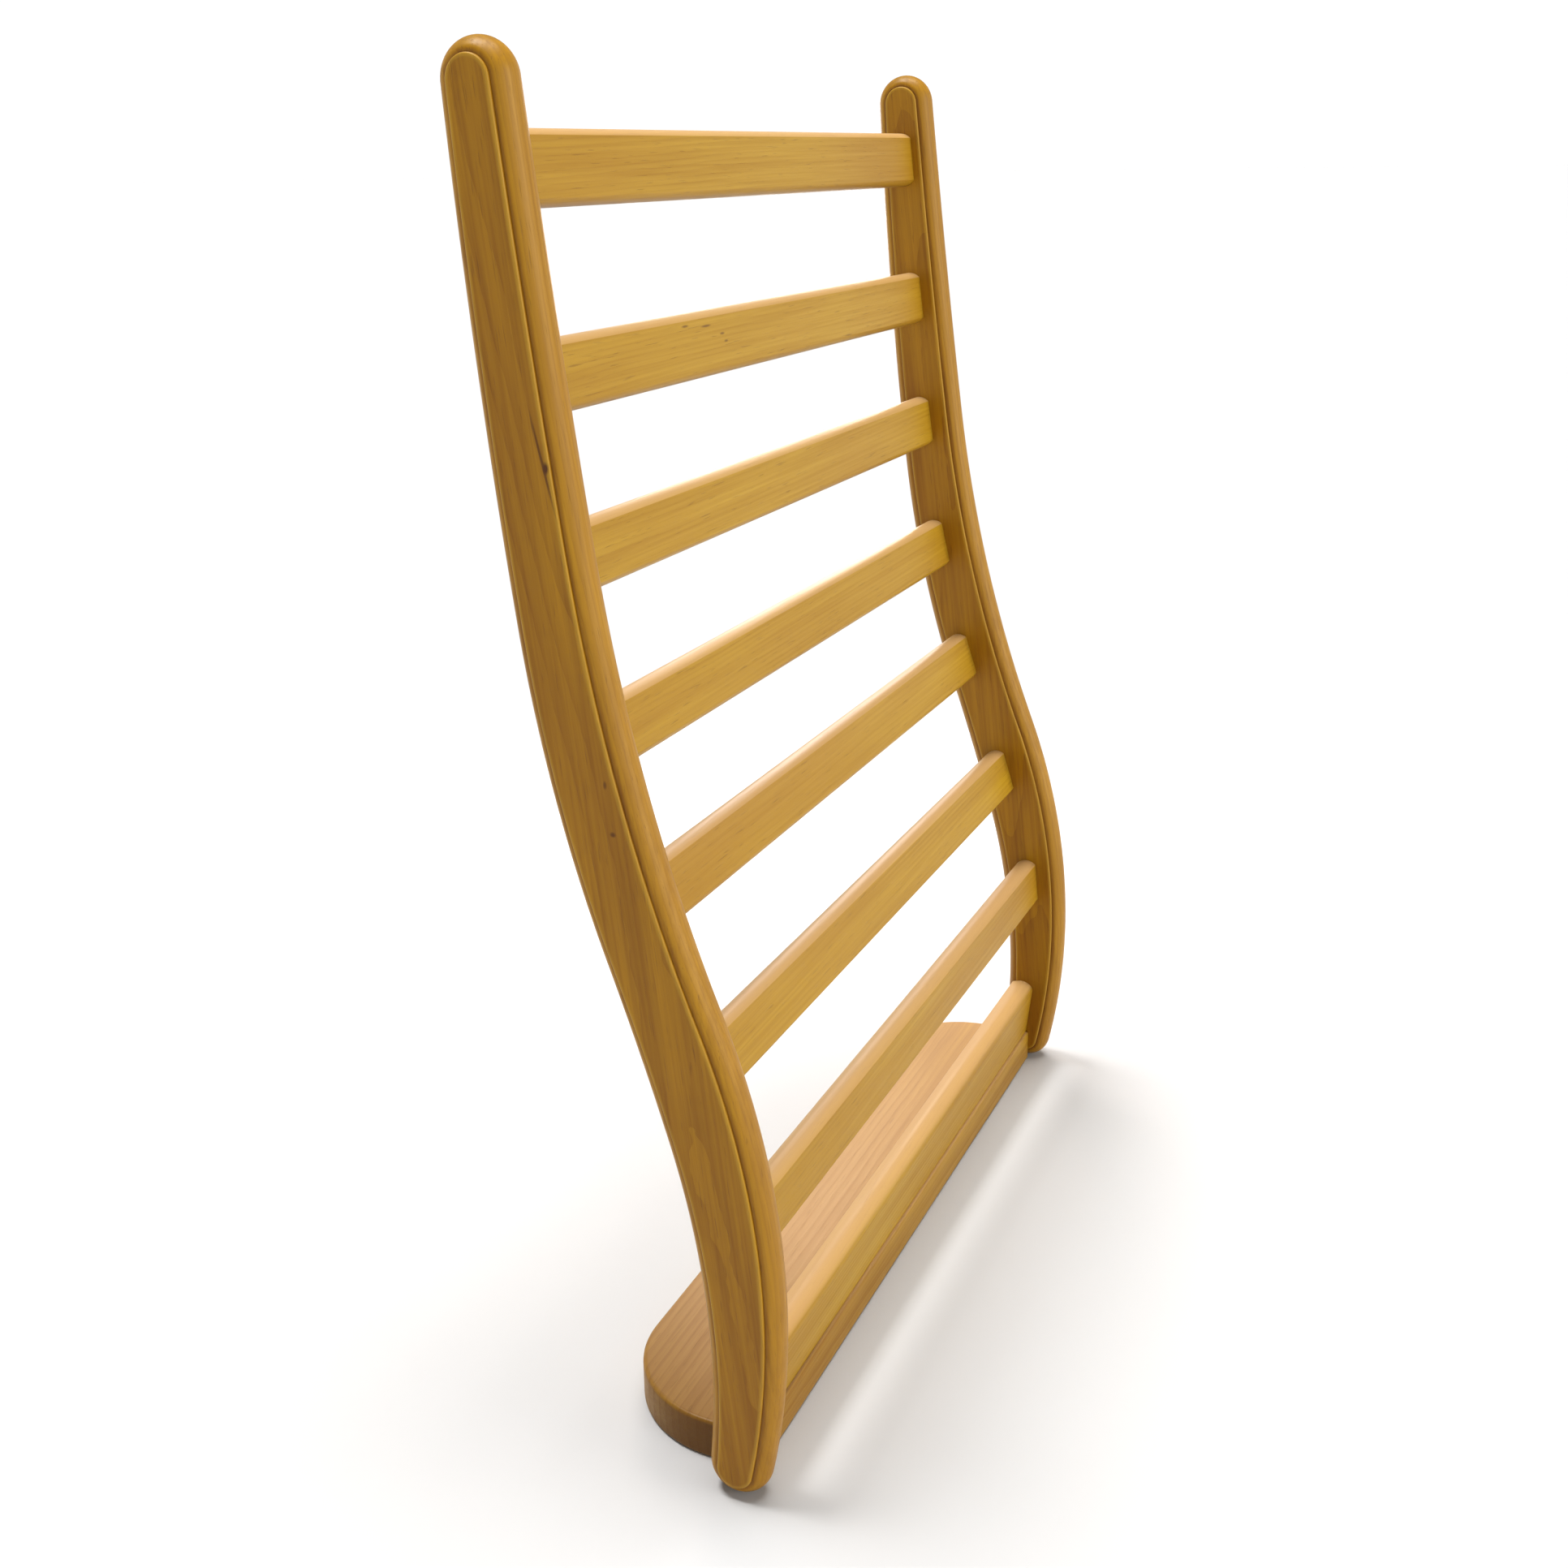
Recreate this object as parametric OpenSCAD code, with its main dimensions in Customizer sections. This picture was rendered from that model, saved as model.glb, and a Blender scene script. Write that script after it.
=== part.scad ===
// Slatted wooden back rest: two S-curved uprights carry seven slats and a bottom rail,
// and a round-cornered base board runs out behind them and holds them up.
// X is the width, -Y the front and +Z up. The origin is on the floor, below the middle of the whole.
// The curves are worked out in a side view with y to the back and z up, from the middle of the feet.

/* [Overall] */
// Height from the floor to the tips of the uprights
total_h = 600; // [596:1:612]
// Width over the outer faces of the uprights
total_w = 454; // [300:2:600]

/* [Uprights] */
// Thickness of each upright
upright_t = 19.4; // [18.5:0.1:21]
// Radius of the round foot
foot_r = 14.5; // [14.2:0.1:15]
// Lean of the front edge at the foot, in degrees, forwards
front_start = -11.4; // [-12:0.1:-11]
// Curves of the front edge going up, each [radius, turn]; a turn to the back is positive
front_runs = [[381, 33.2], [805, -13.9]];
// Turn of the last, nearly straight curve of the front edge; its radius follows from the height
front_last = -1.6; // [-1.8:0.1:-1.4]
// Lean of the back edge at the foot, in degrees, forwards
back_start = -5.3; // [-5.6:0.1:-5]
// Curves of the back edge going up
back_runs = [[405, 22], [1490, 3.1], [658, -12.6]];
// Turn of the last curve of the back edge
back_last = -3.8; // [-4:0.1:-3.6]
// Distance from the edge of an upright to the bead line on its faces
bead_in = 6.2; // [5.5:0.1:7]
// Depth of the step at the bead line
bead_step = 0.8; // [0.4:0.1:1.2]

/* [Slats] */
// Heights on the front edge at which the slats sit, top slat first
slat_heights = [556.5, 481, 411, 341, 274.5, 202.5, 126.5];
// Distance of each slat's front face behind the front edge, top slat first
slat_setbacks = [11, 13.5, 16, 19, 20.5, 20.5, 15];
// Height of the flat front face of a slat
slat_h = 22.7; // [20:0.1:26]
// Thickness of a slat
slat_t = 12.4; // [11:0.1:14]
// Rise of the domed top and bottom of a slat
dome_rise = 3.1; // [2:0.1:4]
// Length of the stub tenon at each end
tenon_l = 8; // [5:0.5:10]

/* [Bottom rail] */
// Place of the rail's front face where it meets the base board
rail_y = -1.5; // [-2.5:0.1:0]
// Forward lean of the rail, in degrees
rail_lean = 6.5; // [0:0.5:8]
// Height of the flat front face of the rail
rail_h = 32; // [28:0.5:36]
// Thickness of the rail
rail_t = 14; // [13:0.1:15]

/* [Base board] */
// Thickness of the base board
board_t = 20; // [18:0.5:22]
// Place of its front edge
board_front = -3.2; // [-4:0.1:-2.8]
// Place of its back edge
board_back = 76.5; // [70:0.5:110]
// Radius of its two rear corners
corner_r = 53; // [25:1:60]
// Radius of its eased edges
ease_r = 2; // [1:0.25:3]

/* [Fasteners] */
// Number of screws from below into the rail
screw_count = 4; // [2:1:6]
// Diameter of the screw shank
screw_d = 4; // [3.5:0.1:4.5]
// Diameter of the countersunk head
head_d = 8; // [7:0.1:9]
// Length of the screw
screw_l = 40; // [36:1:42]
// Diameter of the dowels between base board and uprights
dowel_d = 8; // [6:0.5:9]
// Length of a dowel
dowel_l = 32; // [24:1:36]

/* [Hidden] */
$fn = 96;

inner_x = total_w / 2 - upright_t;
mortise_gap = 0.15;
hole_gap = 0.1;
strip_depth = 13;
core_inset = 10;
core_steps = 12;
core_reach = 5;
axis_gap = 2;
plug_r = 8;
tenon_h = 16;
tenon_t = 8;
rail_tenon_h = 18;
dowel_in_upright = 12;
dowel_y = 4;
head_rim = 0.4;
recess_depth = 2.2;
recess_w = 1.1;
recess_l = 4.4;

function unit(a) = [sin(a), cos(a)];
function inward(a) = [cos(a), -sin(a)];

// A place on an edge is [[y, z], heading]; the heading is the lean from upright, positive to the back.
function run_centre(p, run) = p[0] + sign(run[1]) * run[0] * inward(p[1]);
function run_end(p, run) = [p[0] + run[0] * chord(p[1], run[1]), p[1] + run[1]];
function joint(p, runs, n) = n == 0 ? p : run_end(joint(p, runs, n - 1), runs[n - 1]);

// Way from start to end of a curve of radius 1
function chord(heading, turn) = sign(turn) * (inward(heading) - inward(heading + turn));
function slope(v) = v[0] / v[1];

foot_centre = [0, foot_r];
front_foot = [foot_centre - foot_r * inward(front_start), front_start];
back_foot = [foot_centre + foot_r * inward(back_start), back_start];

// The round tip touches the last curve of both edges and the full height.
front_p = joint(front_foot, front_runs, len(front_runs));
back_p = joint(back_foot, back_runs, len(back_runs));
front_chord = chord(front_p[1], front_last);
back_chord = chord(back_p[1], back_last);
front_in = inward(front_p[1] + front_last);
back_in = inward(back_p[1] + back_last);
tip_span = back_p[0][0] + slope(back_chord) * (total_h - back_p[0][1])
    - front_p[0][0] - slope(front_chord) * (total_h - front_p[0][1]);
tip_r = tip_span / (front_in[0] - slope(front_chord) * (1 + front_in[1])
    + back_in[0] + slope(back_chord) * (1 - back_in[1]));
front_last_r = (total_h - front_p[0][1] - tip_r * (1 + front_in[1])) / front_chord[1];
back_last_r = (total_h - back_p[0][1] - tip_r * (1 - back_in[1])) / back_chord[1];
front_edge = concat(front_runs, [[front_last_r, front_last]]);
back_edge = concat(back_runs, [[back_last_r, back_last]]);
front_tip = joint(front_foot, front_edge, len(front_edge));
back_tip = joint(back_foot, back_edge, len(back_edge));
tip_centre = front_tip[0] + tip_r * inward(front_tip[1]);

// Front-most point of the belly and back-most point of the tips
belly = run_centre(front_foot, front_runs[0])[0] - front_runs[0][0];
middle_y = (belly + tip_centre[0] + tip_r) / 2;

// Place on the front edge at a height
function run_at(p, run, z) =
    let (middle = run_centre(p, run), a = asin((z - middle[1]) / run[0] * sign(run[1])))
    [middle - sign(run[1]) * run[0] * inward(a), a];
function edge_at(z, n = 0) =
    let (p = joint(front_foot, front_edge, n))
    n == len(front_edge) - 1 || run_end(p, front_edge[n])[0][1] >= z
        ? run_at(p, front_edge[n], z)
        : edge_at(z, n + 1);

// Middle of a slat's front face and its lean
function slat_place(i) = let (p = edge_at(slat_heights[i]))
    [p[0] + slat_setbacks[i] * inward(p[1]), p[1]];
rail_place = [[rail_y, board_t], -rail_lean];

// Points inside an edge, none of them where two runs meet
function inset_points(start, runs, inset) = [
    for (n = [0 : len(runs) - 1], k = [1 : core_steps - 1])
        let (q = run_end(joint(start, runs, n), [runs[n][0], runs[n][1] * k / core_steps]))
        q[0] + inset * inward(q[1])
];
front_line = inset_points(front_foot, front_edge, core_inset);
back_line = inset_points(back_foot, back_edge, -core_inset);

// Turns the side view, drawn in the XY plane, upright, with its thickness along X
module side_view() {
    rotate([90, 0, 90]) children();
}

// Rounded edge with a step at the bead line: x goes inwards from the edge, y is the thickness
module nosing(depth) {
    half = upright_t / 2 - bead_step;
    nose_r = (bead_in * bead_in + half * half) / (2 * bead_in);
    intersection() {
        translate([nose_r, 0]) circle(nose_r);
        translate([0, -half]) square([bead_in, 2 * half]);
    }
    translate([bead_in, -upright_t / 2]) square([depth - bead_in, upright_t]);
}

// Edge of the base board, eased above and below
module eased(depth) {
    translate([ease_r, ease_r]) circle(ease_r, $fn = 48);
    translate([ease_r, board_t - ease_r]) circle(ease_r, $fn = 48);
    translate([0, ease_r]) square([depth, board_t - 2 * ease_r]);
    translate([ease_r, 0]) square([depth - ease_r, board_t]);
}

// One run of an edge from place p, its section given as a child;
// hand is 1 where the wood lies on the +y side of the edge and -1 on the other
module edge_run(p, run, hand) {
    move_to(run_centre(p, run))
        rotate_extrude(angle = abs(run[1]), start = run[1] > 0 ? 180 - p[1] - run[1] : -p[1])
            move_to([run[0], 0]) scale_x(-hand * sign(run[1])) children();
}

// Moves by whole millimetres, then by thousandths, then by the rest,
// so that no digit of the place is lost and the runs meet exactly
module move_to(p) {
    whole = [for (v = p) round(v)];
    fine = [for (v = p - whole) round(v * 1000) / 1000];
    translate(whole) translate(fine) translate(p - whole - fine) children();
}

// Mirrors its child left to right where the sign is negative
module scale_x(s) {
    if (s < 0) mirror([1, 0]) children();
    else children();
}

// Round end of an upright, from one edge round to the other
module round_end(centre, r, from, to) {
    move_to(centre) rotate_extrude(angle = to - from, start = from)
        move_to([r, 0]) mirror([1, 0]) nosing(r - axis_gap);
}

// One upright in side view, its thickness centred on z = 0
module upright_blank() {
    for (n = [0 : len(front_edge) - 1])
        edge_run(joint(front_foot, front_edge, n), front_edge[n], 1) nosing(strip_depth);
    for (n = [0 : len(back_edge) - 1])
        edge_run(joint(back_foot, back_edge, n), back_edge[n], -1) nosing(strip_depth);
    round_end(foot_centre, foot_r, 180 - front_start, 360 - back_start);
    round_end(tip_centre, tip_r, -back_tip[1], 180 - front_tip[1]);
    for (c = [foot_centre, tip_centre])
        move_to(c) cylinder(h = upright_t, r = plug_r, center = true);
    translate([0, 0, -upright_t / 2]) linear_extrude(upright_t)
        polygon(concat([foot_centre - [0, core_reach]], front_line, [tip_centre + [0, core_reach]],
                       [for (k = [len(back_line) - 1 : -1 : 0]) back_line[k]]));
}

// Upright on one side, with a mortise for each slat and the rail and a hole for the dowel
module upright(side) {
    difference() {
        translate([side * (total_w - upright_t) / 2, 0, 0]) side_view() upright_blank();
        for (i = [0 : len(slat_heights) - 1])
            cross_bar(slat_place(i), slat_t / 2, 0, tenon_h, tenon_t, mortise_gap);
        cross_bar(rail_place, rail_t / 2, rail_h / 2, rail_tenon_h, tenon_t, mortise_gap);
        dowels(hole_gap);
    }
}

// Square bar through both mortises, back and up from a front face
module cross_bar(place, back, up, h, t, gap) {
    reach = 2 * (inner_x + tenon_l + gap);
    translate([0, place[0][0], place[0][1]]) rotate([-place[1], 0, 0])
        translate([0, back, up]) cube([reach, t + 2 * gap, h + 2 * gap], center = true);
}

// Section of a slat or rail: x goes back from the front face, y goes up from the bottom edge of the face
module bar_section(t, h, domes) {
    dome_r = (dome_rise * dome_rise + t * t / 4) / (2 * dome_rise);
    square([t, h]);
    for (end = domes) intersection() {
        translate([t / 2, end == 1 ? h + dome_rise - dome_r : dome_r - dome_rise]) circle(dome_r);
        translate([0, end == 1 ? h : -dome_rise]) square([t, dome_rise]);
    }
}

// Bar between the uprights with a flat front and domed edges, tenoned at both ends
module bar(place, t, h, below, tenon, domes) {
    translate([-inner_x, place[0][0], place[0][1]]) rotate([-place[1], 0, 0])
        translate([0, 0, -below]) rotate([90, 0, 90])
            linear_extrude(2 * inner_x) bar_section(t, h, domes);
    cross_bar(place, t / 2, h / 2 - below, tenon, tenon_t, 0);
}

module slat(i) {
    color("burlywood") move_to_middle()
        bar(slat_place(i), slat_t, slat_h, slat_h / 2, tenon_h, [0, 1]);
}

// Rail with a flat underside that is level on the base board
module bottom_rail() {
    drop = rail_t * sin(rail_lean) + 1;
    color("burlywood") move_to_middle() difference() {
        bar([rail_place[0] - drop * unit(-rail_lean), -rail_lean], rail_t, rail_h + drop, 0, rail_tenon_h, [1]);
        translate([-total_w / 2, -total_w / 2, board_t - total_w]) cube(total_w);
        screws(hole_gap);
    }
}

// Round-cornered board in plan, its wood to the right of each edge going round
module base_board() {
    half = inner_x;
    side_l = board_back - corner_r - board_front;
    color("tan") move_to_middle() difference() {
        union() {
            for (s = [-1, 1]) scale_x(s) translate([half - corner_r, board_back - corner_r])
                rotate_extrude(angle = 90) translate([corner_r, 0]) mirror([1, 0]) eased(corner_r);
            for (s = [-1, 1]) scale_x(s) translate([half, board_front + side_l]) rotate([90, 0, 0])
                linear_extrude(side_l - ease_r) mirror([1, 0]) eased(corner_r);
            translate([corner_r - half, board_back]) rotate([90, 0, 90])
                linear_extrude(2 * (half - corner_r)) mirror([1, 0]) eased(corner_r);
            translate([-half, board_front]) rotate([90, 0, 90]) linear_extrude(2 * half) eased(corner_r / 2);
            translate([corner_r - half, board_front + corner_r / 4, 0])
                cube([2 * (half - corner_r), board_back - board_front - corner_r / 2, board_t]);
        }
        screws(hole_gap);
        dowels(hole_gap);
    }
}

// Dowels that run from the ends of the base board into the uprights
module dowels(gap) {
    for (s = [-1, 1])
        translate([s * (inner_x + dowel_in_upright - dowel_l / 2), dowel_y, board_t / 2]) rotate([0, 90, 0])
            cylinder(h = dowel_l + 2 * gap, d = dowel_d + 2 * gap, center = true);
}

// Countersunk screws from below through the base board into the rail
module screws(gap) {
    pitch = 2 * inner_x / screw_count;
    for (i = [0 : screw_count - 1])
        translate([(i + 0.5) * pitch - inner_x, rail_y + rail_t / 2, 0]) rotate_extrude()
            polygon([[0, -gap], [head_d / 2 + gap, -gap], [head_d / 2 + gap, head_rim],
                     [screw_d / 2 + gap, head_rim + (head_d - screw_d) / 2],
                     [screw_d / 2 + gap, screw_l - screw_d], [0, screw_l + gap]]);
}

module rail_screws() {
    color("silver") move_to_middle() difference() {
        screws(0);
        for (turn = [0, 90]) cross_recess(turn);
    }
}

// Recess for the driver in every screw head
module cross_recess(turn) {
    pitch = 2 * inner_x / screw_count;
    for (i = [0 : screw_count - 1])
        translate([(i + 0.5) * pitch - inner_x, rail_y + rail_t / 2, 0]) rotate(turn)
            cube([recess_l, recess_w, 2 * recess_depth], center = true);
}

// Shifts the side view's origin to below the middle of the whole
module move_to_middle() {
    translate([0, -middle_y, 0]) children();
}

module left_upright() {
    color("peru") move_to_middle() upright(-1);
}

module right_upright() {
    color("peru") move_to_middle() upright(1);
}

module base_dowels() {
    color("wheat") move_to_middle() dowels(0);
}

left_upright();
right_upright();
slat(0);  // slat_1
slat(1);  // slat_2
slat(2);  // slat_3
slat(3);  // slat_4
slat(4);  // slat_5
slat(5);  // slat_6
slat(6);  // slat_7
bottom_rail();
base_board();
base_dowels();
rail_screws();
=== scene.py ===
"""Looks of a slatted wooden back rest: varnished pine in pale studio light.

Lengths are in metres, in the part's own frame: X the width, -Y the front, +Z up.
"""

from math import cos, pi, radians, sin

import bpy
import numpy as np
from mathutils import Matrix, Vector


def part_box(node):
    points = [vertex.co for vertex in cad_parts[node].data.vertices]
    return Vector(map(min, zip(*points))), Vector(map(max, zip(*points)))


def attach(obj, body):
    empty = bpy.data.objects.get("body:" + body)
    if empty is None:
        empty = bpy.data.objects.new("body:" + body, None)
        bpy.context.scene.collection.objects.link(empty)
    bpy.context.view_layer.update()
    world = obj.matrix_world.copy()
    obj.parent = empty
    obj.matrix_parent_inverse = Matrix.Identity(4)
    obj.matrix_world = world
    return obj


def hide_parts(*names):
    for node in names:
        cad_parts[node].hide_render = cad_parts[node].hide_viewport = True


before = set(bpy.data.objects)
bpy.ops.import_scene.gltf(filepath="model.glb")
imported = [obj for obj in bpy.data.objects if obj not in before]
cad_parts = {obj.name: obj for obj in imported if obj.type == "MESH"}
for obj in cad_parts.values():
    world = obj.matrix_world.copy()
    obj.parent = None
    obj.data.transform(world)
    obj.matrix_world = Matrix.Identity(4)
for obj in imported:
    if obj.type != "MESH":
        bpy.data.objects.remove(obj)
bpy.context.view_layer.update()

SLATS = sorted(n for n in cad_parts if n.startswith("slat_"))
UPRIGHTS = ("left_upright", "right_upright")

# Side outline of an upright: its foot, then curves as (radius, turn in degrees) going up
FOOT_R = 0.0145
FRONT_START, FRONT_RUNS, FRONT_LAST = -11.4, ((0.381, 33.2), (0.805, -13.9)), -1.6
BACK_START, BACK_RUNS, BACK_LAST = -5.3, ((0.405, 22), (1.49, 3.1), (0.658, -12.6)), -3.8
RUN_STEP = 0.004
CAP_STEP = 6

# Bead along an upright's edge: a small ridge, a groove below it (the quirk), then the round nose
BEAD_IN = 0.0062
BEAD_STEP = 0.0008
BEAD_LAND = 0.001
RIDGE_R = 0.0008
QUIRK = 0.0007
QUIRK_WIDTH = 0.0005
# Weights of the bead's painted light: a painted highlight on the ridge and, weaker, on the nose, and painted
# shade in the groove
RIDGE_HIGHLIGHT, QUIRK_SHADE, NOSE_HIGHLIGHT = 1, -1, 0.4
BEAD_PAINTED_LIGHT = "bead_painted_light"

# Slats and rail: how far their tops swell, and the rounding of their long edges
DOME_RISE = 0.0031
DOME_STEPS = 14
ARRIS_R = 0.0006
RAIL_BACK_R, RAIL_CROWN_R, RAIL_FRONT_R = 0.0015, 0.02, 0.005
BURIED_END = 0.0004

# Base board: its rear corners, and the ease around its top and bottom
CORNER_R = 0.053
CORNER_STEPS = 24
BOARD_EASE = 0.002
EASE_STEP = 15
FACE_INSET = 0.0002


# ---------------------------------------------------------------- outlines

def inward(degrees):
    """Direction in (y, z) square to a heading, towards the back."""
    return np.array([cos(radians(degrees)), -sin(radians(degrees))])


def chord(heading, turn):
    """Way from start to end of a curve of radius 1."""
    return np.sign(turn) * (inward(heading) - inward(heading + turn))


def follow(start, heading, runs):
    """Points and headings along a chain of curves."""
    points, headings = [], []
    for radius, turn in runs:
        steps = max(2, round(abs(radians(turn)) * radius / RUN_STEP))
        for part in (turn * k / steps for k in range(steps)):
            points.append(start + radius * chord(heading, part))
            headings.append(heading + part)
        start = start + radius * chord(heading, turn)
        heading += turn
    return points, headings, start, heading


def upright_outline(height):
    """Closed side outline of an upright in (y, z), with its outward directions."""
    foot = np.array([0, FOOT_R])
    front, back = foot - FOOT_R * inward(FRONT_START), foot + FOOT_R * inward(BACK_START)
    *_, front_p, front_a = follow(front, FRONT_START, FRONT_RUNS)
    *_, back_p, back_a = follow(back, BACK_START, BACK_RUNS)
    # The tip's circle touches both last curves and the full height.
    f_chord, b_chord = chord(front_a, FRONT_LAST), chord(back_a, BACK_LAST)
    f_in, b_in = inward(front_a + FRONT_LAST), inward(back_a + BACK_LAST)
    rows = [[f_chord[i], 0, -(i == 0), -(i == 1), f_in[i]] for i in (0, 1)]
    rows += [[0, b_chord[i], -(i == 0), -(i == 1), -b_in[i]] for i in (0, 1)]
    rows += [[0, 0, 0, 1, 1]]
    front_r, back_r, *tip, tip_r = np.linalg.solve(rows, [*-front_p, *-back_p, height])
    up, up_a, *_ = follow(front, FRONT_START, (*FRONT_RUNS, (front_r, FRONT_LAST)))
    down, down_a, *_ = follow(back, BACK_START, (*BACK_RUNS, (back_r, BACK_LAST)))
    over = np.arange(front_a + FRONT_LAST, back_a + BACK_LAST + 180, CAP_STEP)
    under = np.arange(BACK_START + 180, FRONT_START + 360, CAP_STEP)
    points = up + [np.array(tip) - tip_r * inward(a) for a in over] + down[:0:-1]
    points += [foot - FOOT_R * inward(a) for a in under]
    out = [-inward(a) for a in up_a] + [-inward(a) for a in over]
    out += [inward(a) for a in down_a[:0:-1]] + [-inward(a) for a in under]
    return np.array(points), np.array(out)


def arc(centre, radius, start, end, steps):
    """Points on a circle between two angles in degrees."""
    angles = np.radians(np.linspace(start, end, steps + 1))
    return [np.array(centre) + radius * np.array([np.cos(a), np.sin(a)]) for a in angles]


def nosing(thickness):
    """Edge section as (inset, depth) with the weights of its painted highlight and shade, from one face round
    to the other.
    """
    half = thickness / 2
    low = half - BEAD_STEP
    nose_r = (BEAD_IN**2 + low**2) / (2 * BEAD_IN)
    spread = np.degrees(np.arctan2(low, nose_r - BEAD_IN))
    steps, given_to_quirk = 28, 3
    nose = arc((nose_r, 0), nose_r, 180 + spread, 180 - spread, steps)[given_to_quirk:-given_to_quirk]
    ridge = arc((BEAD_IN + RIDGE_R, -half + RIDGE_R), RIDGE_R, 270, 185, 6)
    quirk = [(BEAD_IN - x, -low + QUIRK) for x in (0, QUIRK_WIDTH)]
    side = [(BEAD_IN + RIDGE_R + BEAD_LAND, -half), *ridge, *quirk]
    highlight_and_shade_weights = [0] + [RIDGE_HIGHLIGHT] * len(ridge) + [QUIRK_SHADE] * len(quirk)
    return side + nose + [(a, -b) for a, b in side[::-1]], highlight_and_shade_weights + [NOSE_HIGHLIGHT] * len(nose) + highlight_and_shade_weights[::-1]


def softened(corners, steps=4):
    """Closed outline from (x, y, radius) corners, each rounded to about its radius."""
    out = []
    for i, (x, y, r) in enumerate(corners):
        here = np.array([x, y])
        if not r:
            out.append(here)
            continue
        before = np.array(corners[i - 1][:2]) - here
        after = np.array(corners[(i + 1) % len(corners)][:2]) - here
        a, b = (v / np.linalg.norm(v) for v in (before, after))
        half = np.arccos(np.clip(a @ b, -1, 1)) / 2
        room = 0.45 * min(np.linalg.norm(before), np.linalg.norm(after))
        reach = min(r / np.tan(half), room)
        for t in np.linspace(0, 1, steps + 1):
            out.append(here + reach * ((1 - t) ** 2 * a + t**2 * b))
    return np.array(out)


def rail_section(b0, b1, u0, u1):
    """Section of the rail as (depth, height): square below, its top rounded over towards the front."""
    shoulder = u1 - DOME_RISE
    top = [(b1, shoulder, RAIL_BACK_R), ((b0 + b1) / 2, u1, RAIL_CROWN_R), (b0, shoulder, RAIL_FRONT_R)]
    return softened([*top, (b0, u0, 0), (b1, u0, 0)], steps=8)


def slat_section(b0, b1, u0, u1):
    """Section of a slat as (depth, height): flat front and back, domed top and bottom."""
    half, middle = (b1 - b0) / 2, (b0 + b1) / 2
    radius = (DOME_RISE**2 + half**2) / (2 * DOME_RISE)
    spread = np.degrees(np.arcsin(half / radius))
    corners = []
    for centre, way in ((u1 - radius, 90), (u0 + radius, 270)):
        for i, p in enumerate(arc((middle, centre), radius, way - spread, way + spread, DOME_STEPS)):
            corners.append((*p, ARRIS_R if i in (0, DOME_STEPS) else 0))
    return softened(corners)


# ---------------------------------------------------------------- meshes

def mesh_object(name, verts, faces):
    """Smooth shaded object that keeps every edge over 32 degrees sharp."""
    mesh = bpy.data.meshes.new(name)
    mesh.from_pydata([tuple(v) for v in verts], [], faces)
    mesh.validate()
    mesh.shade_smooth()
    mesh.set_sharp_from_angle(angle=radians(32))
    obj = bpy.data.objects.new(name, mesh)
    bpy.context.scene.collection.objects.link(obj)
    return obj


def rings_to_mesh(name, rings):
    """Closed skin over rings of points, its two ends capped."""
    n = len(rings[0])
    verts = [p for ring in rings for p in ring]
    faces = [
        (k * n + i, k * n + (i + 1) % n, (k + 1) * n + (i + 1) % n, (k + 1) * n + i)
        for k in range(len(rings) - 1)
        for i in range(n)
    ]
    faces += [tuple(range(n))[::-1], tuple((len(rings) - 1) * n + i for i in range(n))]
    obj = mesh_object(name, verts, faces)
    if signed_volume(obj.data) < 0:
        obj.data.flip_normals()
    return obj


def signed_volume(mesh):
    mesh.calc_loop_triangles()
    co = np.array([v.co for v in mesh.vertices])
    a, b, c = (co[[t.vertices[i] for t in mesh.loop_triangles]] for i in range(3))
    return float(np.einsum("ij,ij->i", a, np.cross(b, c)).sum())


def plate(name, outline, out, section, place):
    """Flat piece with a moulded edge; place turns (in-plane a, in-plane b, depth) into a point."""
    rings = [[place(a, b, depth) for a, b in outline - inset * out] for inset, depth in section]
    return rings_to_mesh(name, rings)


def upright(name):
    """Upright in the place of its CAD node, with the weights of the bead's painted highlight and shade kept
    on the points for its wood.
    """
    low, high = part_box(name)
    thick, middle = high.x - low.x, (low.x + high.x) / 2
    outline, out = upright_outline(high.z)
    outline[:, 0] += low.y - outline[:, 0].min()
    section, highlight_and_shade_weights = nosing(thick)
    obj = plate(name + "_wood", outline, out, section, lambda a, b, d: (middle + d, a, b))
    # The weights of the painted highlight and shade go on the mesh's points
    tone = obj.data.attributes.new(BEAD_PAINTED_LIGHT, "FLOAT", "POINT")
    tone.data.foreach_set("value", np.repeat(highlight_and_shade_weights, len(outline)).astype(float))
    return obj


def bar(name, make_section):
    """Slat or rail: its lean comes from the CAD node's broad front face."""
    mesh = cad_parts[name].data
    face = max((p for p in mesh.polygons if p.normal.y < -0.5), key=lambda p: p.area)
    back = -np.array([face.normal.y, face.normal.z])
    back /= np.linalg.norm(back)
    up = np.array([-back[1], back[0]])
    yz = np.array([(v.co.y, v.co.z) for v in mesh.vertices])
    b, u = yz @ back, yz @ up
    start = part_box("left_upright")[1].x - BURIED_END
    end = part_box("right_upright")[0].x + BURIED_END
    section = make_section(b.min(), b.max(), u.min(), u.max())
    if make_section is rail_section:
        section = on_floor(section, back, up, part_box(name)[0].z)
    rings = [[(x, *(p[0] * back + p[1] * up)) for p in section] for x in (start, end)]
    return rings_to_mesh(name + "_wood", rings)


def on_floor(section, back, up, level):
    """Lets the two bottom corners of a leaning section end at one level."""
    for i in (-1, -2):
        depth = section[i][0]
        section[i][1] = (level - depth * back[1]) / up[1]
    return section


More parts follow.
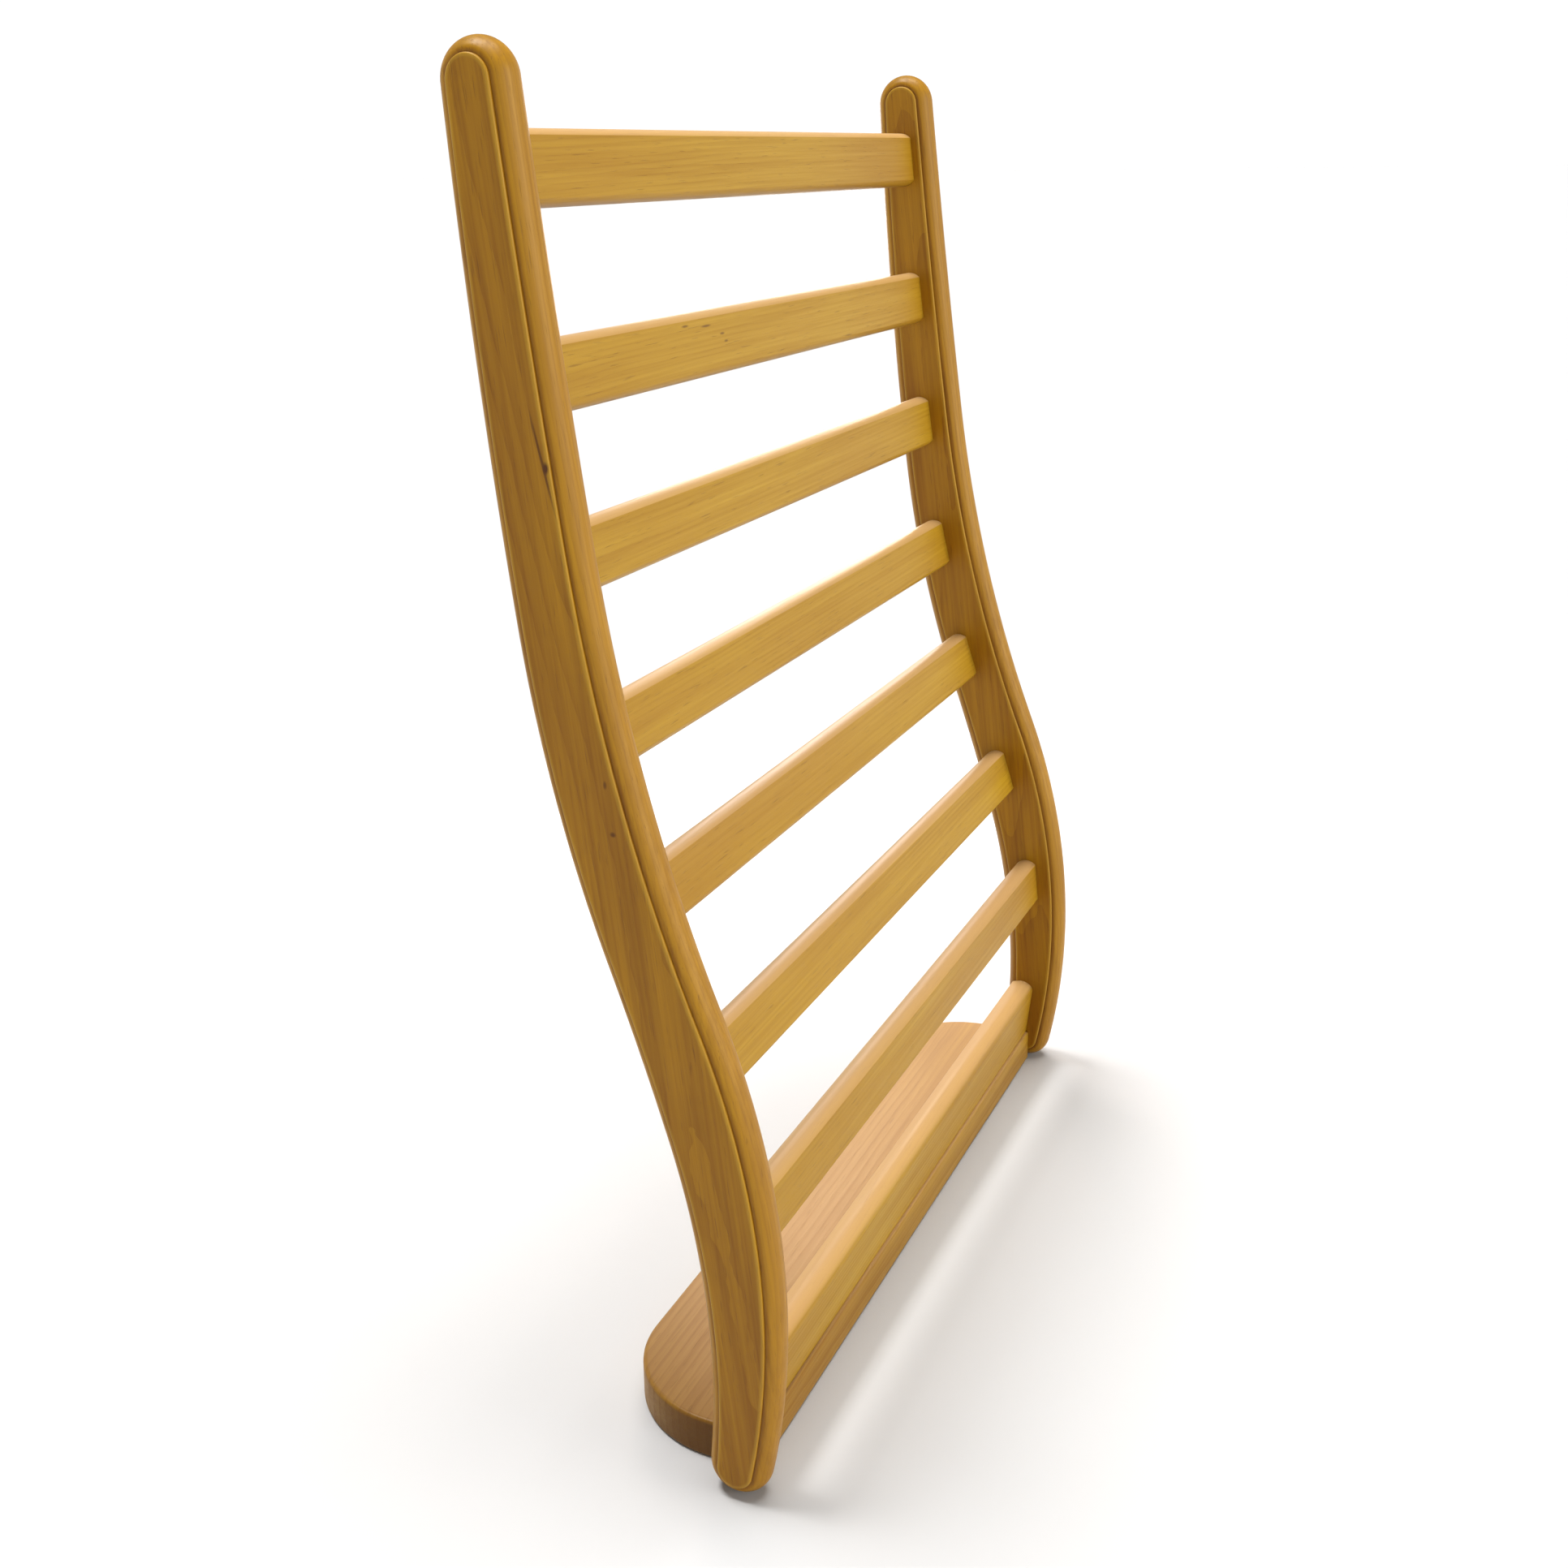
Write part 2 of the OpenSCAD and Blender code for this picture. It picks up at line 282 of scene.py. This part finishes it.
def base_board():
    """Board with a square front, two round rear corners and an ease all round."""
    low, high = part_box("base_board")
    points, out = [], []
    for x, start in ((high.x - CORNER_R, 0), (low.x + CORNER_R, 90)):
        centre = np.array([x, high.y - CORNER_R])
        for p in arc(centre, CORNER_R, start, start + 90, CORNER_STEPS):
            points.append(p)
            out.append((p - centre) / CORNER_R)
    for x, side in ((low.x, -1), (high.x, 1)):
        points.append(np.array([x, low.y]))
        out.append(np.array([side, -1.0]))
    ease = [(BOARD_EASE * (1 - cos(a)), BOARD_EASE * (1 - sin(a)))
            for a in (radians(angle) for angle in range(90, -1, -EASE_STEP))]
    ease.insert(0, (BOARD_EASE + FACE_INSET, 0))
    section = [(inset, low.z + z) for inset, z in ease] + [(inset, high.z - z) for inset, z in ease[::-1]]
    return plate("base_board_wood", np.array(points), np.array(out), section, lambda a, b, d: (a, b, d))


# ---------------------------------------------------------------- wood

def srgb(*values):
    """sRGB 0 to 255 as linear colour."""
    return tuple(((v / 255 + 0.055) / 1.055) ** 2.4 if v > 10 else v / 3295 for v in values) + (1.0,)


class Tree:
    """Short names for building a node tree."""

    def __init__(self, material):
        material.use_nodes = True
        self.material = material
        self.nodes = material.node_tree.nodes
        self.links = material.node_tree.links
        self.shader = self.nodes["Principled BSDF"]

    def add(self, kind, inputs=None, **settings):
        node = self.nodes.new("ShaderNode" + kind)
        for key, value in settings.items():
            setattr(node, key, value)
        for key, value in (inputs or {}).items():
            self.feed(node.inputs[key], value)
        return node

    def feed(self, socket, value):
        if isinstance(value, bpy.types.NodeSocket):
            self.links.new(value, socket)
        else:
            socket.default_value = value

    def math(self, operation, *values):
        node = self.add("Math", operation=operation)
        for i, value in enumerate(values):
            self.feed(node.inputs[i], value)
        return node.outputs[0]

    def mix(self, factor, a, b):
        node = self.add("Mix", data_type="RGBA")
        for i, value in ((0, factor), (6, a), (7, b)):
            self.feed(node.inputs[i], value)
        return node.outputs[2]

    def ramp(self, value, low, high, share=1.0):
        """Nothing at low, the whole share at high."""
        span = {"Value": value, "From Min": low, "From Max": high, "To Max": share}
        return self.add("MapRange", span).outputs[0]

    def noise(self, space, across, along, detail, roughness=0.5):
        """Noise drawn out along local Z, its scales in cells per metre."""
        scaled = self.add("Mapping", {"Vector": space, "Scale": (across, across, along)}).outputs[0]
        settings = {"Vector": scaled, "Scale": 1.0, "Detail": detail, "Roughness": roughness}
        return self.add("TexNoise", settings).outputs["Fac"]


# Turns the part's axes so that the grain runs along local Z
GRAIN_TURN = {"X": (0, radians(-90), 0), "Z": (0, 0, 0)}
GRAIN_AXIS = {"X": (1, 0, 0), "Z": (0, 0, 1)}


def grain_space(t, place, grain, seed, tilt, pith):
    """Place measured from the pith, with the grain along local Z and a part of the tree for each seed."""
    turned = t.add("VectorRotate", {"Vector": place, "Rotation": GRAIN_TURN[grain]},
                   rotation_type="EULER_XYZ")
    rng = np.random.default_rng(seed)
    shift = (*rng.uniform(-0.01, 0.01, 2), rng.uniform(-3, 3))
    location = (pith[0] + shift[0], pith[1] + shift[1], shift[2])
    return t.add("Mapping", {"Vector": turned.outputs[0], "Location": location,
                             "Rotation": (*tilt, 0)}).outputs[0]


def growth_rings(t, space, scale):
    """Dark late wood of wavering rings, from 0 to 1."""
    waver = t.math("SUBTRACT", t.noise(space, 14, 2.2, 2.0), 0.5)
    sway = t.add("CombineXYZ", {"X": t.math("MULTIPLY", waver, 0.02), "Y": t.math("MULTIPLY", waver, -0.012)})
    pushed = t.add("VectorMath", {0: space, 1: sway.outputs[0]}, operation="ADD").outputs[0]
    rings = t.add("TexWave", {"Vector": pushed, "Scale": scale, "Distortion": 1.1, "Detail": 2.0,
                              "Detail Scale": 0.35},
                  wave_type="RINGS", rings_direction="Z", wave_profile="SAW").outputs["Fac"]
    return t.math("POWER", rings, 2.6)


def shade(colour, *factors):
    return tuple(c * f for c, f in zip(colour, factors)) + (1.0,)


def wood(name, grain, light, dark, seed, tilt=(0.006, 0.012), pith=(0.07, 0.03), ring_scale=120.0,
         ring_depth=0.2, end_share=0.62, top=None, marks=()):
    """Varnished pine: growth rings about a far pith, fine fibres, broad tone drifts, pores and marks, with
    painted light and shade on some faces.
    """
    t = Tree(bpy.data.materials.new(name))
    place = t.add("TexCoord").outputs["Object"]
    space = grain_space(t, place, grain, seed, tilt, pith)
    late = growth_rings(t, space, ring_scale)
    fibre = t.noise(space, 620, 9, 4.0, 0.62)
    streak = t.noise(space, 130, 3.5, 3.0)
    drift = t.noise(space, 11, 4, 2.0)
    pores = t.ramp(t.noise(space, 1500, 70, 1.0), 0.66, 0.74, 0.35)

    tone = t.math("ADD", t.math("MULTIPLY", late, ring_depth), t.ramp(fibre, 0.34, 0.68, 0.4))
    tone = t.math("ADD", tone, t.ramp(streak, 0.36, 0.66, 0.3))
    warm, brown = shade(dark, 0.98, 0.86, 0.72), shade(dark, 0.42, 0.34, 0.26)
    colour = t.mix(tone, light, dark)
    colour = t.mix(t.ramp(drift, 0.42, 0.7, 0.45), colour, warm)
    colour = t.mix(pores, colour, brown)
    # End grain darkens; undersides get painted shade and faces that look up get painted light
    colour = end_grain_and_painted_light(t, colour, place, grain, brown, end_share, top)
    # Painted highlight on the bead's ridge and nose, painted shade in its groove
    colour = paint_bead_light_and_shade(t, colour, brown)
    for mark in marks:
        colour = t.mix(dark_mark(t, place, *mark), colour, brown)
    varnish(t, colour, tone, fibre, late, pores)
    return t.material


def end_grain_and_painted_light(t, colour, place, grain, brown, end_share, top):
    """Darkens end grain, paints shade on undersides, and paints light on faces that look up."""
    normal = t.add("NewGeometry").outputs["Normal"]
    facing = t.add("VectorMath", {0: normal, 1: GRAIN_AXIS[grain]}, operation="DOT_PRODUCT").outputs["Value"]
    colour = t.mix(t.ramp(t.math("ABSOLUTE", facing), 0.45, 1.0, end_share), colour, brown)
    height = t.add("SeparateXYZ", {0: normal}).outputs["Z"]
    if top:
        # Painted light on faces that look up; on the board a painted shadow at the left end fades into it
        share, left, right = top
        across = t.ramp(t.add("SeparateXYZ", {0: place}).outputs["X"], *PAINTED_TOP_FADE)
        colour = t.mix(t.ramp(height, 0.3, 0.95, share), colour, t.mix(across, left, right))
    # Painted shade on faces that look down
    return t.mix(t.ramp(height, -0.5, -0.95, 0.6), colour, brown)


def paint_bead_light_and_shade(t, colour, brown):
    """Paints a highlight on the bead's ridge and the nose, and paints shade in the groove; other pieces stay
    as they are.
    """
    bead = t.add("Attribute", attribute_name=BEAD_PAINTED_LIGHT).outputs["Fac"]
    # Painted shade in the groove, then a painted highlight on the ridge and the nose
    colour = t.mix(t.ramp(bead, 0.0, QUIRK_SHADE, 0.35), colour, brown)
    return t.mix(t.ramp(bead, 0.0, RIDGE_HIGHLIGHT, 0.4), colour, BEAD_HIGHLIGHT)


def dark_mark(t, place, centre, radii, turn, strength):
    """Soft-edged dark spot of the given half sizes, turned about X and fading outwards."""
    local = t.add("Mapping", {"Vector": place, "Location": centre, "Rotation": (turn, 0, 0), "Scale": radii},
                  vector_type="TEXTURE").outputs[0]
    spot = t.add("TexGradient", {"Vector": local}, gradient_type="SPHERICAL").outputs["Fac"]
    return t.ramp(spot, 0.0, 0.6, strength)


def varnish(t, colour, tone, fibre, late, pores):
    """Low satin gloss over the colour, with the fibres, rings and pores faintly felt through it."""
    relief = t.math("ADD", t.math("MULTIPLY", fibre, 0.6), t.math("MULTIPLY", late, 0.5))
    relief = t.math("SUBTRACT", relief, t.math("MULTIPLY", pores, 1.6))
    bump = t.add("Bump", {"Strength": 0.55, "Distance": 0.00016, "Height": relief})
    rough = t.add("MapRange", {"Value": tone, "To Min": 0.4, "To Max": 0.56})
    settings = {"Base Color": colour, "Normal": bump.outputs[0], "Roughness": rough.outputs[0],
                "Specular IOR Level": 0.22, "Coat Weight": 0.05, "Coat Roughness": 0.3}
    for key, value in settings.items():
        t.feed(t.shader.inputs[key], value)


# ---------------------------------------------------------------- the object

SLAT_LIGHT, SLAT_DARK = srgb(180, 140, 28), srgb(152, 108, 14)
# The last colour here is the painted highlight on the bead's ridge and nose
POST_LIGHT, POST_DARK, BEAD_HIGHLIGHT = srgb(172, 121, 6), srgb(127, 78, 3), srgb(196, 156, 50)
BOARD_LIGHT, BOARD_DARK = srgb(176, 134, 30), srgb(134, 90, 14)

# Painted light on the faces that look up, as (share, left, right), and the X between which left turns into
# right; the board's left colour is a painted shadow at its left end
SLAT_PAINTED_TOP_LIGHT = (0.7, srgb(206, 166, 116), srgb(206, 166, 116))
BOARD_PAINTED_TOP_LIGHT_AND_SHADE = (0.5, srgb(84, 52, 12), srgb(190, 152, 112))
PAINTED_TOP_FADE = (-0.21, -0.06)

# Dark marks as (centre, half sizes, turn about X in radians, strength): on the left upright's outer face
# a knot with a crack through it and two specks, and on the front of the second slat short flecks
OUTER_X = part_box("left_upright")[0].x
POST_MARKS = (
    ((OUTER_X, 0.0265, 0.4515), (0.003, 0.0008, 0.024), radians(-13), 0.8),
    ((OUTER_X, 0.0251, 0.4492), (0.003, 0.0016, 0.0028), 0, 1.0),
    ((OUTER_X, 0.0034, 0.3066), (0.002, 0.0016, 0.0014), 0, 0.85),
    ((OUTER_X, 0.006, 0.3269), (0.002, 0.001, 0.0022), 0, 0.7),
)
FLECK_Y = 0.0355
SLAT_MARKS = tuple(
    ((x, FLECK_Y, z), (half_width, 0.004, 0.0007), 0, 0.8)
    for x, z, half_width in ((-0.090, 0.4885, 0.004), (-0.070, 0.487, 0.006), (-0.055, 0.4825, 0.003),
                             (-0.052, 0.479, 0.0025), (0.092, 0.4685, 0.007))
)


def finish_piece(obj, node, material):
    """Gives a piece its wood and puts it in the place of its CAD node."""
    obj.data.materials.append(material)
    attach(obj, "root")
    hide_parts(node)


for i, node in enumerate(UPRIGHTS):
    skin = wood(node, "Z", POST_LIGHT, POST_DARK, seed=11 + i, tilt=(0.12, 0.01),
                pith=(0.03, 0.05 - 0.02 * i), ring_scale=150.0, ring_depth=0.3, end_share=0.1,
                marks=POST_MARKS if node == "left_upright" else ())
    finish_piece(upright(node), node, skin)

for i, node in enumerate(SLATS):
    skin = wood(node, "X", SLAT_LIGHT, SLAT_DARK, seed=31 + i, top=SLAT_PAINTED_TOP_LIGHT,
                marks=SLAT_MARKS if node == "slat_2" else ())
    finish_piece(bar(node, slat_section), node, skin)

rail_skin = wood("bottom_rail", "X", SLAT_LIGHT, SLAT_DARK, seed=51, top=SLAT_PAINTED_TOP_LIGHT)
finish_piece(bar("bottom_rail", rail_section), "bottom_rail", rail_skin)

board_skin = wood("base_board", "X", BOARD_LIGHT, BOARD_DARK, seed=61, pith=(0.02, 0.06),
                  ring_scale=70.0, ring_depth=0.4, end_share=0.85, top=BOARD_PAINTED_TOP_LIGHT_AND_SHADE)
finish_piece(base_board(), "base_board", board_skin)


# ---------------------------------------------------------------- stage

def floor(radius=60.0, sides=96):
    """Pale disc that reaches past the horizon."""
    ring = [(radius * cos(a), radius * sin(a), 0) for a in np.linspace(0, 2 * pi, sides, endpoint=False)]
    obj = mesh_object("floor", ring, [tuple(range(sides))])
    t = Tree(bpy.data.materials.new("pale_floor"))
    t.shader.inputs["Base Color"].default_value = (0.56, 0.563, 0.568, 1)
    t.shader.inputs["Roughness"].default_value = 0.8
    obj.data.materials.append(t.material)


def soft_sun(name, towards, strength, spread, colour):
    """Even light from one side of the sky; a wide spread in degrees gives soft shadows."""
    data = bpy.data.lights.new(name, "SUN")
    data.energy = strength
    data.angle = radians(spread)
    data.color = colour
    obj = bpy.data.objects.new(name, data)
    obj.rotation_euler = Vector(towards).to_track_quat("Z", "Y").to_euler()
    bpy.context.scene.collection.objects.link(obj)


def near_lamp(place, target, size, power, colour):
    """Small soft box that brightens the right end of the board and the slats."""
    data = bpy.data.lights.new("near", "AREA")
    data.size = size
    data.energy = power
    data.color = colour
    obj = bpy.data.objects.new("near", data)
    obj.location = place
    obj.rotation_euler = (Vector(target) - Vector(place)).to_track_quat("-Z", "Y").to_euler()
    bpy.context.scene.collection.objects.link(obj)


def sky():
    """Pale all round, brightest at the horizon."""
    world = bpy.data.worlds.new("pale")
    bpy.context.scene.world = world
    world.use_nodes = True
    nodes, links = world.node_tree.nodes, world.node_tree.links
    direction = nodes.new("ShaderNodeTexCoord")
    split = nodes.new("ShaderNodeSeparateXYZ")
    ramp = nodes.new("ShaderNodeMapRange")
    for key, value in (("From Min", 0.08), ("From Max", 0.6), ("To Min", 1.05), ("To Max", 0.12)):
        ramp.inputs[key].default_value = value
    links.new(direction.outputs["Generated"], split.inputs[0])
    links.new(split.outputs["Z"], ramp.inputs["Value"])
    links.new(ramp.outputs[0], nodes["Background"].inputs["Strength"])
    nodes["Background"].inputs["Color"].default_value = (1, 1, 1, 1)


def camera():
    """Level with the top slat, off the left front corner, looking down along the slats."""
    place = Vector((-0.7854, -0.3229, 0.5583))
    heading, down, roll = radians(65.51), radians(19.03), radians(-0.71)
    ahead = Vector((sin(heading) * cos(down), cos(heading) * cos(down), -sin(down)))
    right = Vector((cos(heading), -sin(heading), 0))
    up = right.cross(ahead)
    turned = right * cos(roll) + up * sin(roll)
    upright_way = up * cos(roll) - right * sin(roll)
    data = bpy.data.cameras.new("camera")
    data.sensor_width = 36
    data.lens = 40.36
    data.shift_x = 0.0034
    data.shift_y = -0.0145
    data.clip_start = 0.01
    obj = bpy.data.objects.new("camera", data)
    axes = Matrix((turned, upright_way, -ahead)).transposed()
    obj.matrix_world = Matrix.Translation(place) @ axes.to_4x4()
    bpy.context.scene.collection.objects.link(obj)
    bpy.context.scene.camera = obj


floor()
sky()
soft_sun("key", towards=(0.15, -0.1, 0.98), strength=2.1, spread=30, colour=(1.0, 0.99, 0.97))
soft_sun("back", towards=(0.0, 0.3, 0.95), strength=2.7, spread=16, colour=(1.0, 0.99, 0.98))
soft_sun("front", towards=(0.1, -0.98, 0.16), strength=1.9, spread=40, colour=(1.0, 0.98, 0.94))
near_lamp(place=(0.62, 0.3, 0.5), target=(0.16, 0.0, 0.06), size=0.3, power=2.6, colour=(1.0, 0.88, 0.8))
camera()
bpy.context.scene.view_settings.view_transform = "Standard"
